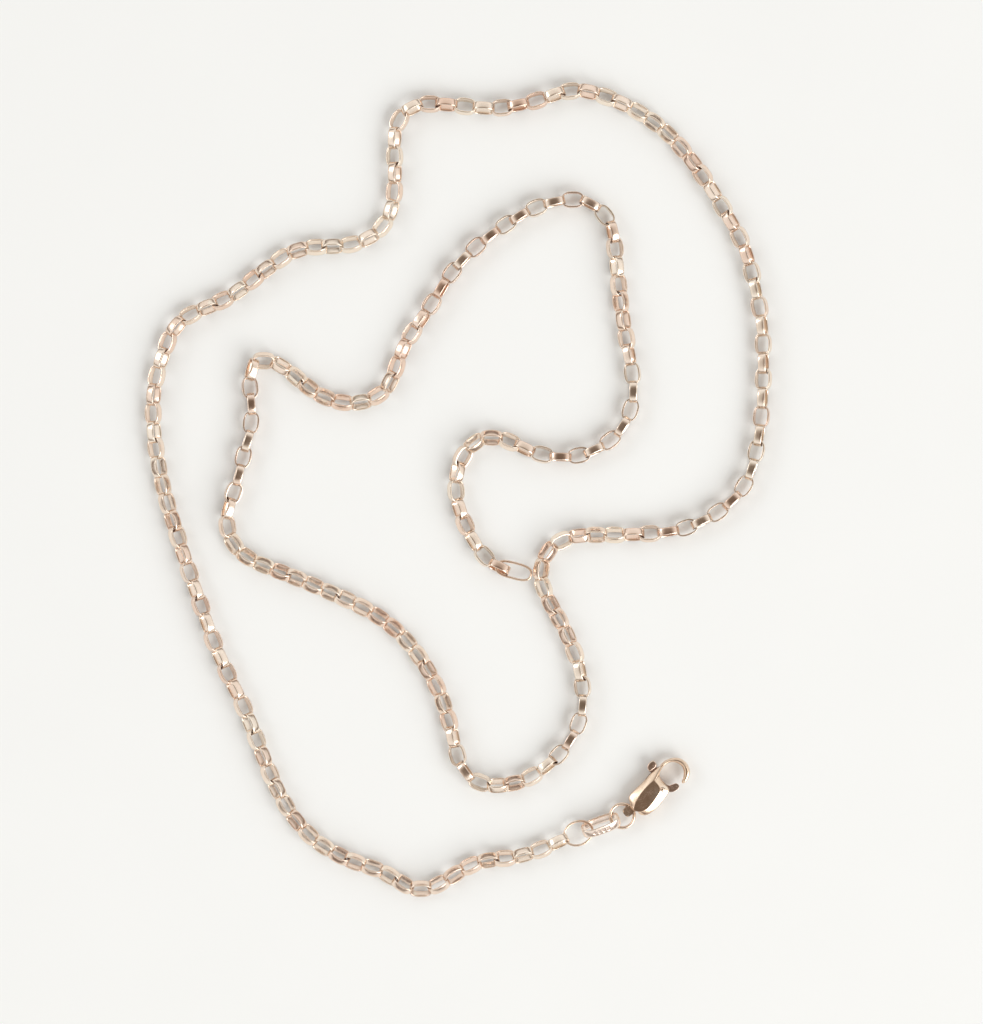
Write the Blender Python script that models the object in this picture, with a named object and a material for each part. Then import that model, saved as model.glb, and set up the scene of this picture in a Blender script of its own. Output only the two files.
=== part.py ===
"""Fine rose-gold watch chain, laid out in loops on a table.

An oval belcher chain about half a metre long: a lobster clasp with a sprung
lever, a round ring through the clasp's eye, a long hallmark link, an oval
ring, the chain itself and a long end ring.  Units are metres, +Z is up, the
chain rests on z = 0 and the origin is the centre of its footprint.  Lengths
below are in millimetres and are turned into metres where meshes are made.
"""
import math

import bmesh
import bpy
from mathutils import Matrix, Vector

MM = 0.001

# Belcher links: a flat band bent into a long oval.
LINK_INNER = 2.212         # clear length inside a link
LINK_WIDTH = 2.0          # outside width
LINK_DEPTH = 0.92         # depth of the band
LINK_WALL = 0.25          # thickness of the band
LINK_CORNER = (0.6, 0.4)  # how far each corner is cut, along and across
LINK_LENGTH = LINK_INNER + 2 * LINK_WALL
LEAST_SHELL = 20          # faces of the smallest shell that is a link and not a crumb
RUN_COUNT = 50            # rigid runs the chain is divided into
SHORTEST_RUN = 3          # links
BREAK_SHIFT = 2           # links a run's end may be moved to find a straighter place
BREAK_SHIFT_COST = 0.03   # how much bend, in radians, one link of such a move is worth
JOINT_PLAY = 0.22         # slack left where two runs hook into each other
WELD_BITE = 0.066         # how far two links of one run sink into each other

# Everything hangs on one level, so that the widest tilted link clears z = 0.
MID_HEIGHT = math.hypot(LINK_WIDTH, LINK_DEPTH) / 2

# Way points of the chain on the table, from the clasp to the end ring.
ROUTE = (
    (13.1, -42.6), (10.1, -43.9), (7.7, -44.7), (5.6, -45.0), (3.3, -45.2), (1.1, -46.0),
    (-2.7, -48.4), (-4.9, -48.8), (-6.7, -48.2), (-8.2, -47.0), (-9.8, -46.3), (-13.4, -45.1),
    (-17.4, -42.8), (-20.5, -39.3), (-22.7, -35.1), (-24.4, -30.8), (-26.1, -26.5),
    (-28.2, -22.2), (-30.0, -17.9), (-31.5, -13.6), (-33.0, -9.3), (-34.4, -4.9), (-35.7, -0.6),
    (-36.6, 3.8), (-37.1, 8.4), (-36.9, 12.9), (-35.6, 17.2), (-34.8, 19.2), (-33.4, 20.8),
    (-31.6, 21.7), (-27.7, 23.4), (-24.3, 26.0), (-20.9, 28.5), (-18.9, 29.3), (-16.8, 29.5),
    (-14.8, 29.5), (-12.6, 29.8), (-10.6, 30.6), (-9.0, 32.0), (-8.1, 33.9), (-7.7, 36.2),
    (-7.7, 40.6), (-7.8, 42.8), (-7.3, 44.9), (-6.0, 46.4), (-4.1, 46.9), (-0.1, 46.7),
    (4.3, 46.3), (8.7, 47.0), (12.7, 48.3), (14.9, 48.6), (17.1, 48.1), (20.9, 46.5),
    (24.5, 44.2), (27.6, 41.1), (30.3, 37.4), (32.7, 33.5), (34.9, 29.4), (36.1, 25.0),
    (37.0, 20.5), (37.2, 15.8), (37.1, 11.1), (36.7, 6.5), (35.7, 2.1), (34.6, -0.1),
    (33.0, -1.8), (31.2, -3.2), (27.0, -5.0), (22.3, -5.5), (17.6, -5.6), (15.2, -5.6),
    (13.1, -6.0), (11.2, -7.1), (10.2, -9.0), (10.1, -11.4), (11.0, -13.5), (13.2, -17.5),
    (14.8, -21.7), (15.3, -25.9), (14.9, -28.0), (14.0, -30.1), (12.7, -32.0), (9.5, -34.8),
    (7.4, -35.7), (5.2, -36.1), (3.0, -36.0), (1.2, -34.9), (0.1, -33.1), (-0.9, -28.9),
    (-2.3, -24.6), (-4.7, -20.4), (-7.8, -16.9), (-11.6, -14.4), (-15.8, -12.5), (-20.0, -10.7),
    (-24.2, -9.1), (-26.1, -8.1), (-27.5, -6.5), (-28.2, -4.5), (-28.1, -2.3), (-27.2, -0.3),
    (-26.2, 3.8), (-25.1, 8.1), (-25.3, 12.1), (-25.4, 14.1), (-24.7, 15.7), (-22.9, 15.7),
    (-21.1, 14.8), (-17.9, 12.1), (-15.9, 11.0), (-13.8, 10.4), (-11.6, 10.5), (-9.7, 11.3),
    (-8.2, 12.9), (-6.8, 16.9), (-5.5, 19.1), (-3.1, 22.6), (-1.0, 26.0), (2.0, 29.3),
    (5.6, 32.0), (9.8, 34.4), (13.9, 35.3), (16.0, 34.9), (17.7, 33.6), (18.8, 31.7),
    (19.3, 27.3), (19.8, 22.8), (20.5, 18.4), (21.3, 13.8), (21.4, 11.5), (21.0, 9.3),
    (19.9, 7.3), (18.3, 5.6), (14.2, 3.9), (9.6, 4.3), (5.6, 6.1), (3.5, 6.4), (1.7, 5.5),
    (0.4, 3.8), (-0.2, 1.6), (-0.3, -0.7), (1.1, -4.9), (3.2, -8.3), (4.1, -9.1), (6.1, -10.0),
)

# Roll of the even-numbered links about the chain, in degrees, at a given link
# (0 = lying flat, 90 = standing on edge).  Odd links stand square to them.
ROLL_KEYS = (
    (0, -60), (4, -45), (8, -38), (13, -40), (18, -48), (24, -60), (31, -60), (36, -42),
    (40, -26), (46, -26), (50, -34), (58, -30), (64, -22), (70, -15), (74, -20), (79, -38),
    (84, -58), (90, -66), (96, -72), (101, -86), (106, -84), (111, -30), (114, -45),
    (118, -50), (122, -86), (125, -84), (131, -6), (135, -40), (150, -45), (154, -86),
    (158, -86), (163, -45), (170, -35), (176, -5), (186, -5), (191, -45), (196, -86),
    (202, -84), (208, -30), (212, -30), (215, -15), (230, -15),
)

# Rings and the hallmark link, as (x, y) of their centres.
RING_SIDES = 16
END_RING_LENGTH = 4.6
END_RING_HEADING = -15.0
END_RING_SLACK = 1.3      # it hangs loose, this far inside the last link
END_RING_WIDTH = 2.15
END_RING_WIRE = 0.15      # radius
OVAL_RING_SEMI = (1.8, 1.42)
OVAL_RING_WIRE = 0.15
RING_GAP = 0.05           # between a ring's wire and the link it hangs in
CLASP_RING_CENTRE = (20.0, -39.8)
CLASP_RING_RADIUS = 1.45
CLASP_RING_WIRE = 0.2
TAG_CENTRE = (17.4, -40.9)
TAG_HEADING = 20.0
TAG_LENGTH = 4.9
TAG_WIDTH = 2.3
TAG_DEPTH = 1.15
TAG_WALL = 0.24
TAG_CORNER = (1.0, 0.6)
TAG_ROLL = -55.0
TAG_LIFT = 0.175          # keeps the wide band off the table

# Lobster clasp, in its own frame: x from the eye to the hook, y to the thumb side.
CLASP_HEADING = 38.8
BODY_HALF_THICK = MID_HEIGHT
BODY_RIM = 0.62                   # half thickness where the sloping faces meet the sides
# The body's outline, each point with the point of the flat top facet that it rises to.
BODY_OUTLINE = (
    ((0.0, -0.5), (0.12, -0.4)), ((0.34, -0.62), (0.34, -0.62)), ((0.32, -1.1), (0.55, -0.85)),
    ((0.52, -1.46), (0.82, -1.0)), ((0.95, -1.76), (1.15, -1.1)), ((1.55, -1.88), (1.65, -1.12)),
    ((2.5, -1.86), (2.6, -0.9)), ((3.7, -1.6), (3.5, -0.62)), ((4.75, -1.3), (4.0, -0.4)),
    ((5.1, -0.95), (4.2, -0.12)), ((5.0, 0.1), (4.3, 0.25)), ((5.1, 0.9), (4.27, 0.6)),
    ((5.4, 1.28), (4.2, 0.78)), ((6.15, 1.62), (4.08, 0.9)), ((6.1, 1.88), (3.9, 0.97)),
    ((4.6, 1.9), (3.3, 0.96)), ((3.2, 1.63), (2.6, 0.88)), ((1.8, 1.55), (1.7, 0.62)),
    ((0.9, 1.44), (1.05, 0.32)), ((0.42, 1.16), (0.62, 0.1)), ((0.34, 0.62), (0.34, -0.06)),
    ((0.0, 0.5), (0.12, -0.2)),
)
CUTTER_HALF = 3.0                 # half length of a drill that goes right through
RIVET_SHY = 0.02                  # how far the rivet's ends lie below the body's faces
# Eye block at the tail, which also runs into the body.
LUG_OUTLINE = ((-1.15, -0.36), (-0.9, -0.58), (0.75, -0.58), (0.75, 0.58), (-0.9, 0.58),
               (-1.15, 0.36))
LUG_HALF_THICK = 0.6
EYE_CENTRE = (-0.2, 0.0)          # the hole leaves the ring's wire room towards the tail
EYE_SEMI = (0.56, 0.36)           # along the clasp, and up
HOOK_CENTRE = (6.55, 0.15)
HOOK_SEMI = (1.78, 1.62)
HOOK_ANGLES = (124.0, -84.0)
HOOK_WIDTHS = (0.4, 0.46, 0.68, 0.78, 0.5)
HOOK_THICKS = (1.3, 1.3, 1.25, 1.0, 0.7)
HOOK_STEPS = 14
HOOK_SIDES = 8
SLOT_HALF = 0.42
SLOT_OUTLINE = ((3.55, -2.6), (5.6, -2.6), (5.6, 0.6), (5.72, 2.6), (3.62, 2.6), (3.45, 0.6))
PIVOT = (4.4, -0.5)
PIN_RADIUS = 0.27
PIN_CLEAR = 0.025
LEVER_HALF = 0.36
LEVER_OUTLINE = (
    (3.95, -0.75), (4.25, -1.02), (4.8, -1.12), (5.05, -1.56), (5.75, -1.72), (6.2, -1.6),
    (6.32, -1.25), (6.1, -0.92), (5.4, -0.86), (5.08, -0.5), (4.98, 0.4), (5.35, 1.75),
    (5.5, 2.1), (5.82, 2.35), (5.8, 2.96), (5.0, 3.0), (4.62, 2.72), (4.5, 2.12),
    (4.72, 1.85), (4.3, 0.35), (3.95, -0.2),
)
SPRING_HALF = 0.3
SPRING_WALL = 0.1
SPRING_CENTRE = (3.83, 0.78)
SPRING_RADIUS = 0.26
SPRING_ANGLES = range(-150, 151, 30)   # degrees, open towards the tail

# The clasp's eye sits on the ring's wire, on the side that faces the hook.
EYE = (
    CLASP_RING_CENTRE[0] + CLASP_RING_RADIUS * math.cos(math.radians(CLASP_HEADING)),
    CLASP_RING_CENTRE[1] + CLASP_RING_RADIUS * math.sin(math.radians(CLASP_HEADING)),
)

# Moves the finished layout so that the footprint's centre is the origin.
LAYOUT_SHIFT = (-0.0378, 0.0524)


def clear_scene():
    for item in list(bpy.data.objects):
        bpy.data.objects.remove(item, do_unlink=True)


def gold(name, colour, roughness):
    """One metal per kind of piece."""
    material = bpy.data.materials.new(name)
    material.use_nodes = True
    shader = material.node_tree.nodes["Principled BSDF"]
    shader.inputs["Base Color"].default_value = (*colour, 1.0)
    shader.inputs["Metallic"].default_value = 1.0
    shader.inputs["Roughness"].default_value = roughness
    return material


def mesh_object(name, bm):
    """An object whose mesh, still in millimetres, comes from bm."""
    bmesh.ops.recalc_face_normals(bm, faces=bm.faces)
    mesh = bpy.data.meshes.new(name)
    bm.to_mesh(mesh)
    bm.free()
    item = bpy.data.objects.new(name, mesh)
    bpy.context.scene.collection.objects.link(item)
    return item


def boolean(target, tool, operation):
    """Applies one exact Boolean and removes the tool."""
    modifier = target.modifiers.new("cut", "BOOLEAN")
    modifier.operation = operation
    modifier.solver = "EXACT"
    modifier.object = tool
    bake_modifiers(target)
    bpy.data.objects.remove(tool, do_unlink=True)


def drop_crumbs(item):
    """Deletes the tiny shells that a union leaves where two faces nearly coincide."""
    bm = bmesh.new()
    bm.from_mesh(item.data)
    waiting = set(bm.faces)
    while waiting:
        shell = [waiting.pop()]
        for face in shell:
            for edge in face.edges:
                for neighbour in edge.link_faces:
                    if neighbour in waiting:
                        waiting.remove(neighbour)
                        shell.append(neighbour)
        if len(shell) < LEAST_SHELL:
            bmesh.ops.delete(bm, geom=shell, context="FACES")
    bm.to_mesh(item.data)
    bm.free()


def bake_modifiers(item):
    graph = bpy.context.evaluated_depsgraph_get()
    graph.update()
    mesh = bpy.data.meshes.new_from_object(item.evaluated_get(graph))
    item.modifiers.clear()
    item.data = mesh


def finish(item, material, pivot, parent=None):
    """Scales to metres, puts the origin on the pivot and sets the material."""
    pivot = Vector(pivot)
    item.data.transform(Matrix.Scale(MM, 4) @ Matrix.Translation(-pivot))
    item.data.materials.clear()
    item.data.materials.append(material)
    shift = Vector((*LAYOUT_SHIFT, 0.0))
    item.location = (pivot + shift) * MM
    item.data.update()
    if parent is not None:
        item.parent = parent
        item.matrix_parent_inverse = Matrix.Translation(-parent.location)
    return item


# ---------------------------------------------------------------- the route

def spline(points, steps=12):
    """Dense Catmull-Rom curve through the way points."""
    ends = [2 * points[0] - points[1]] + points + [2 * points[-1] - points[-2]]
    dense = []
    for a, b, c, d in zip(ends, ends[1:], ends[2:], ends[3:]):
        for step in range(steps):
            t = step / steps
            dense.append(0.5 * (2 * b + (c - a) * t + (2 * a - 5 * b + 4 * c - d) * t * t
                                + (3 * b - a - 3 * c + d) * t * t * t))
    dense.append(points[-1])
    return dense


def walk(dense, stride):
    """Contact points along the curve, stride(i) apart in a straight line."""
    contacts = [dense[0].copy()]
    for start, end in zip(dense, dense[1:]):
        while (end - contacts[-1]).length >= stride(len(contacts) - 1):
            reach = stride(len(contacts) - 1)
            low, high = 0.0, 1.0
            for _ in range(30):
                middle = (low + high) / 2
                if (start.lerp(end, middle) - contacts[-1]).length < reach:
                    low = middle
                else:
                    high = middle
            contacts.append(start.lerp(end, high))
    return contacts


def bend(contacts, index):
    """Turn of the chain at one contact, in radians."""
    before = contacts[index] - contacts[index - 1]
    after = contacts[index + 1] - contacts[index]
    return before.angle(after)


def straightest_breaks(contacts):
    """Contacts where runs meet: evenly spread, but moved off the tight turns."""
    links = len(contacts) - 1
    breaks = [0]
    for run in range(1, RUN_COUNT):
        even = run * links / RUN_COUNT

        def cost(contact):
            return bend(contacts, contact) + BREAK_SHIFT_COST * abs(contact - even)

        earliest = max(breaks[-1] + SHORTEST_RUN, round(even) - BREAK_SHIFT)
        choices = range(earliest, round(even) + BREAK_SHIFT + 1)
        breaks.append(min(choices, key=cost))
    return breaks + [links]


def play(index, breaks):
    """Gap (below zero) or bite (above zero) between the links at a contact."""
    return -JOINT_PLAY if index in breaks else WELD_BITE


def chain_layout():
    """Contact points and the numbers of the contacts where runs meet."""
    dense = spline([Vector((x, y, MID_HEIGHT)) for x, y in ROUTE])
    contacts = walk(dense, lambda index: LINK_INNER)
    breaks = straightest_breaks(contacts)
    contacts = walk(dense, lambda i: LINK_INNER + (play(i, breaks) + play(i + 1, breaks)) / 2)
    return contacts[:breaks[-1] + 1], breaks


def link_frames(contacts, breaks):
    """One frame per link, each centred between the two walls it hooks over."""
    frames = []
    for link, (start, end) in enumerate(zip(contacts, contacts[1:])):
        along = (end - start).normalized()
        centre = start + along * (LINK_INNER + play(link, breaks)) / 2
        frames.append(placed(centre, along, roll_of(link)))
    return frames


def roll_of(link):
    """Roll of a link in radians, from the keys above."""
    for (first, low), (last, high) in zip(ROLL_KEYS, ROLL_KEYS[1:]):
        if first <= link <= last:
            roll = low + (high - low) * (link - first) / (last - first)
            return math.radians(roll + (90.0 if link % 2 else 0.0))
    raise ValueError(link)


def placed(centre, along, roll=0.0):
    """Frame at centre: x along the chain, z up before the roll about x."""
    heading = math.atan2(along.y, along.x)
    turn = Matrix.Rotation(heading, 4, "Z") @ Matrix.Rotation(roll, 4, "X")
    return Matrix.Translation(centre) @ turn


# ------------------------------------------------------------ basic shapes

def oval_outline(half_length, half_width, corner):
    """Eight-sided oval: two flat sides, two flat ends, four cut corners."""
    a, b = half_length, half_width
    along, across = corner
    return [(a, across - b), (a, b - across), (a - along, b), (along - a, b),
            (-a, b - across), (-a, across - b), (along - a, -b), (a - along, -b)]


def inner_corner(corner, wall):
    """Corner cut of the inner outline, so that the wall is even all round."""
    along, across = corner
    slope = math.hypot(along, across)
    return (along - wall + wall * (slope - along) / across,
            across - wall + wall * (slope - across) / along)


def add_band(bm, length, width, depth, wall, corner, frame):
    """A band bent into a closed oval, as four-sided rings of faces."""
    outer = oval_outline(length / 2, width / 2, corner)
    inner = oval_outline(length / 2 - wall, width / 2 - wall, inner_corner(corner, wall))
    rings = []
    for outline, z in ((outer, -depth / 2), (outer, depth / 2),
                       (inner, depth / 2), (inner, -depth / 2)):
        rings.append([bm.verts.new(frame @ Vector((x, y, z))) for x, y in outline])
    for ring, following in zip(rings, rings[1:] + rings[:1]):
        for k in range(len(ring)):
            n = (k + 1) % len(ring)
            bm.faces.new((ring[k], ring[n], following[n], following[k]))


def add_wire_ring(bm, path, radius, frame, sides=5):
    """A round wire bent along a closed flat path of (x, y) points."""
    count = len(path)
    rings = []
    for k, (x, y) in enumerate(path):
        before = Vector(path[k - 1])
        after = Vector(path[(k + 1) % count])
        tangent = (after - before).normalized()
        outward = Vector((tangent.y, -tangent.x))
        ring = []
        for side in range(sides):
            angle = math.tau * side / sides
            offset = outward * radius * math.cos(angle)
            spot = Vector((x + offset.x, y + offset.y, radius * math.sin(angle)))
            ring.append(bm.verts.new(frame @ spot))
        rings.append(ring)
    for k in range(count):
        first, second = rings[k], rings[(k + 1) % count]
        for side in range(sides):
            n = (side + 1) % sides
            bm.faces.new((first[side], first[n], second[n], second[side]))


def ellipse_path(semi_x, semi_y, count):
    return [(semi_x * math.cos(math.tau * k / count), semi_y * math.sin(math.tau * k / count))
            for k in range(count)]


def stadium_path(length, width, arc_points=7):
    """A long ring with straight sides and round ends."""
    radius = width / 2
    straight = length / 2 - radius
    path = []
    for side, centre in ((0, straight), (1, -straight)):
        for k in range(arc_points + 1):
            angle = math.pi * (k / arc_points - 0.5 + side)
            path.append((centre + radius * math.cos(angle), radius * math.sin(angle)))
    return path


def loft(name, levels):
    """Outlines with equally many points, stacked as (outline, z), skinned with triangles."""
    bm = bmesh.new()
    rings = [[bm.verts.new((x, y, z)) for x, y in outline] for outline, z in levels]
    bm.faces.new(rings[0][::-1])
    bm.faces.new(rings[-1])
    for low, high in zip(rings, rings[1:]):
        for k in range(len(low)):
            n = (k + 1) % len(low)
            bm.faces.new((low[k], low[n], high[n]))
            bm.faces.new((low[k], high[n], high[k]))
    return mesh_object(name, bm)


def prism(name, outline, low, high):
    """A flat outline raised from low to high."""
    bm = bmesh.new()
    bottom = [bm.verts.new((x, y, low)) for x, y in outline]
    top = [bm.verts.new((x, y, high)) for x, y in outline]
    bm.faces.new(bottom[::-1])
    bm.faces.new(top)
    for k in range(len(outline)):
        n = (k + 1) % len(outline)
        bm.faces.new((bottom[k], bottom[n], top[n], top[k]))
    return mesh_object(name, bm)


def rod(name, radius, half_length, frame, sides=12):
    """A round bar along its frame's z axis."""
    bm = bmesh.new()
    bmesh.ops.create_cone(bm, cap_ends=True, segments=sides, radius1=radius, radius2=radius,
                          depth=2 * half_length, matrix=frame)
    return mesh_object(name, bm)


# ---------------------------------------------------------------- the clasp

CLASP_FRAME = (Matrix.Translation((EYE[0], EYE[1], MID_HEIGHT))
               @ Matrix.Rotation(math.radians(CLASP_HEADING), 4, "Z"))


def hook_solid():
    """The curved bow of the clasp, swept round an ellipse and tapering to its tip."""
    bm = bmesh.new()
    first, last = (math.radians(a) for a in HOOK_ANGLES)
    spread = 1 / math.cos(math.pi / HOOK_SIDES)  # puts the flats, not the corners, on the size
    rings = []
    for step in range(HOOK_STEPS + 1):
        t = step / HOOK_STEPS
        angle = first + (last - first) * t
        place = t * (len(HOOK_WIDTHS) - 1)
        k = min(int(place), len(HOOK_WIDTHS) - 2)
        width = HOOK_WIDTHS[k] + (HOOK_WIDTHS[k + 1] - HOOK_WIDTHS[k]) * (place - k)
        thick = HOOK_THICKS[k] + (HOOK_THICKS[k + 1] - HOOK_THICKS[k]) * (place - k)
        centre = Vector((HOOK_CENTRE[0] + HOOK_SEMI[0] * math.cos(angle),
                         HOOK_CENTRE[1] + HOOK_SEMI[1] * math.sin(angle), 0.0))
        outward = Vector((math.cos(angle), math.sin(angle), 0.0))
        ring = []
        for side in range(HOOK_SIDES):
            turn = math.tau * (side + 0.5) / HOOK_SIDES
            ring.append(bm.verts.new(centre + outward * width / 2 * spread * math.cos(turn)
                                     + Vector((0, 0, thick / 2 * spread * math.sin(turn)))))
        rings.append(ring)
    for ring, following in zip(rings, rings[1:]):
        for side in range(HOOK_SIDES):
            n = (side + 1) % HOOK_SIDES
            bm.faces.new((ring[side], ring[n], following[n], following[side]))
    bm.faces.new(rings[0])
    bm.faces.new(rings[-1][::-1])
    return mesh_object("hook", bm)


def clasp_body(material):
    """Faceted body with the hook and the eye, slotted for the lever."""
    rim = [edge for edge, _ in BODY_OUTLINE]
    facet = [top for _, top in BODY_OUTLINE]
    body = loft("clasp_body", ((facet, -BODY_HALF_THICK), (rim, -BODY_RIM), (rim, BODY_RIM),
                               (facet, BODY_HALF_THICK)))
    boolean(body, hook_solid(), "UNION")
    boolean(body, prism("lug", LUG_OUTLINE, -LUG_HALF_THICK, LUG_HALF_THICK), "UNION")
    stretch = Matrix.Diagonal((EYE_SEMI[0], 1.0, EYE_SEMI[1], 1.0))
    across = (Matrix.Translation((*EYE_CENTRE, 0.0)) @ stretch
              @ Matrix.Rotation(math.radians(90), 4, "X"))
    boolean(body, rod("eye", 1.0, CUTTER_HALF, across), "DIFFERENCE")
    boolean(body, prism("slot", SLOT_OUTLINE, -SLOT_HALF, SLOT_HALF), "DIFFERENCE")
    pivot = Matrix.Translation((*PIVOT, 0.0))
    boolean(body, rod("bore", PIN_RADIUS + PIN_CLEAR, CUTTER_HALF, pivot), "DIFFERENCE")
    body.data.transform(CLASP_FRAME)
    return finish(body, material, CLASP_FRAME @ Vector((0, 0, 0)))


def clasp_lever(material, parent):
    """Gate finger and thumb nub in one flat lever that turns on the rivet."""
    lever = prism("clasp_lever", LEVER_OUTLINE, -LEVER_HALF, LEVER_HALF)
    pivot = Matrix.Translation((*PIVOT, 0.0))
    boolean(lever, rod("bore", PIN_RADIUS + PIN_CLEAR, CUTTER_HALF, pivot), "DIFFERENCE")
    lever.data.transform(CLASP_FRAME)
    return finish(lever, material, CLASP_FRAME @ Vector((*PIVOT, 0)), parent)


def clasp_rivet(material, parent):
    """The pin that the lever turns on."""
    pivot = Matrix.Translation((*PIVOT, 0.0))
    pin = rod("clasp_rivet", PIN_RADIUS, BODY_HALF_THICK - RIVET_SHY, pivot)
    pin.data.transform(CLASP_FRAME)
    return finish(pin, material, CLASP_FRAME @ Vector((*PIVOT, 0)), parent)


def clasp_spring(material, parent):
    """Small open coil of flat strip between the body and the lever's arm."""
    inner, outer = [], []
    for angle in (math.radians(degrees) for degrees in SPRING_ANGLES):
        for ring, radius in ((inner, SPRING_RADIUS - SPRING_WALL), (outer, SPRING_RADIUS)):
            ring.append((SPRING_CENTRE[0] + radius * math.cos(angle),
                         SPRING_CENTRE[1] + radius * math.sin(angle)))
    outline = outer + inner[::-1]
    spring = prism("clasp_spring", outline, -SPRING_HALF, SPRING_HALF)
    spring.data.transform(CLASP_FRAME)
    return finish(spring, material, CLASP_FRAME @ Vector((*SPRING_CENTRE, 0)), parent)


# ------------------------------------------------------- rings and tag link

def clasp_ring(material, parent):
    """Round wire ring through the clasp's eye."""
    bm = bmesh.new()
    frame = Matrix.Translation((*CLASP_RING_CENTRE, MID_HEIGHT))
    path = ellipse_path(CLASP_RING_RADIUS, CLASP_RING_RADIUS, RING_SIDES)
    add_wire_ring(bm, path, CLASP_RING_WIRE, frame)
    ring = mesh_object("clasp_ring", bm)
    return finish(ring, material, (*EYE, MID_HEIGHT), parent)


def on_circle(centre, radius, toward):
    """Point of a circle that faces another point."""
    away = (Vector(toward) - Vector(centre)).normalized()
    return Vector(centre) + away * radius


def hallmark_link(material, parent):
    """Long wide band between the two rings."""
    bm = bmesh.new()
    along = Vector((math.cos(math.radians(TAG_HEADING)), math.sin(math.radians(TAG_HEADING)), 0))
    centre = Vector((*TAG_CENTRE, MID_HEIGHT + TAG_LIFT))
    frame = placed(centre, along, math.radians(TAG_ROLL))
    add_band(bm, TAG_LENGTH, TAG_WIDTH, TAG_DEPTH, TAG_WALL, TAG_CORNER, frame)
    tag = mesh_object("hallmark_link", bm)
    spot = on_circle(CLASP_RING_CENTRE, CLASP_RING_RADIUS, TAG_CENTRE)
    return finish(tag, material, (*spot, MID_HEIGHT), parent)


def oval_ring(material, parent, centre, heading, pivot):
    """Thin oval ring between the hallmark link and the first link."""
    bm = bmesh.new()
    frame = (Matrix.Translation((*centre, MID_HEIGHT)) @ Matrix.Rotation(heading, 4, "Z"))
    add_wire_ring(bm, ellipse_path(*OVAL_RING_SEMI, RING_SIDES), OVAL_RING_WIRE, frame)
    ring = mesh_object("oval_ring", bm)
    return finish(ring, material, (*pivot, MID_HEIGHT), parent)


def wire_inset(radius):
    """How far inside an end link's contact point a ring's wire sits."""
    return radius + RING_GAP - JOINT_PLAY / 2


def end_ring(material, parent, contact, along):
    """Long wire ring hooked through the last link."""
    bm = bmesh.new()
    length = END_RING_LENGTH - 2 * END_RING_WIRE
    width = END_RING_WIDTH - 2 * END_RING_WIRE
    hooked = contact - along * END_RING_SLACK
    heading = math.radians(END_RING_HEADING)
    away = Vector((math.cos(heading), math.sin(heading), 0.0))
    frame = placed(hooked + away * (length / 2), away)
    add_wire_ring(bm, stadium_path(length, width), END_RING_WIRE, frame)
    ring = mesh_object("end_ring", bm)
    return finish(ring, material, hooked, parent)


# ---------------------------------------------------------------- the chain

def chain_run(name, frames, material, pivot, parent):
    """Neighbouring links sunk a hair into each other and fused into one body."""
    halves = []
    for offset in (0, 1):
        bm = bmesh.new()
        for frame in frames[offset::2]:
            add_band(bm, LINK_LENGTH, LINK_WIDTH, LINK_DEPTH, LINK_WALL, LINK_CORNER, frame)
        halves.append(mesh_object(name if offset == 0 else "other_half", bm))
    boolean(halves[0], halves[1], "UNION")
    drop_crumbs(halves[0])
    return finish(halves[0], material, pivot, parent)


def build():
    clear_scene()
    links_gold = gold("link_gold", (0.86, 0.62, 0.47), 0.2)
    wire_gold = gold("wire_gold", (0.83, 0.60, 0.44), 0.22)
    tag_gold = gold("tag_gold", (0.88, 0.67, 0.53), 0.24)
    clasp_gold = gold("clasp_gold", (0.74, 0.53, 0.38), 0.26)
    lever_gold = gold("lever_gold", (0.68, 0.48, 0.35), 0.28)
    rivet_gold = gold("rivet_gold", (0.78, 0.56, 0.41), 0.25)
    spring_steel = gold("spring_steel", (0.55, 0.53, 0.5), 0.3)

    contacts, breaks = chain_layout()
    frames = link_frames(contacts, breaks)

    body = clasp_body(clasp_gold)
    clasp_lever(lever_gold, body)
    clasp_rivet(rivet_gold, body)
    clasp_spring(spring_steel, body)
    ring = clasp_ring(wire_gold, body)

    first_along = (contacts[1] - contacts[0]).normalized()
    first_hook = contacts[0] + first_along * wire_inset(OVAL_RING_WIRE)
    oval_centre = first_hook - first_along * OVAL_RING_SEMI[0]
    oval_heading = math.atan2(first_along.y, first_along.x)
    oval_centre = (oval_centre.x, oval_centre.y)
    tag = hallmark_link(tag_gold, ring)
    oval_pivot = on_circle(oval_centre, OVAL_RING_SEMI[0], TAG_CENTRE)
    parent = oval_ring(wire_gold, tag, oval_centre, oval_heading, oval_pivot)

    for run, (first, last) in enumerate(zip(breaks, breaks[1:]), start=1):
        pivot = contacts[first] if first else first_hook
        parent = chain_run(f"chain_{run:02d}", frames[first:last], links_gold, pivot, parent)
    end_along = (contacts[-1] - contacts[-2]).normalized()
    end_ring(wire_gold, parent, contacts[-1], end_along)


build()
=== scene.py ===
"""Looks of the fine rose-gold watch chain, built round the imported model.

Every link, ring and clasp piece gets a finished surface mesh of its own that rides on
the body of the CAD node it stands for.  Shapes are worked out in millimetres, in the
model's frame, and become metres when a mesh is made.
"""
import math
import random

import bmesh
import bpy
from mathutils import Matrix, Vector


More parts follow.
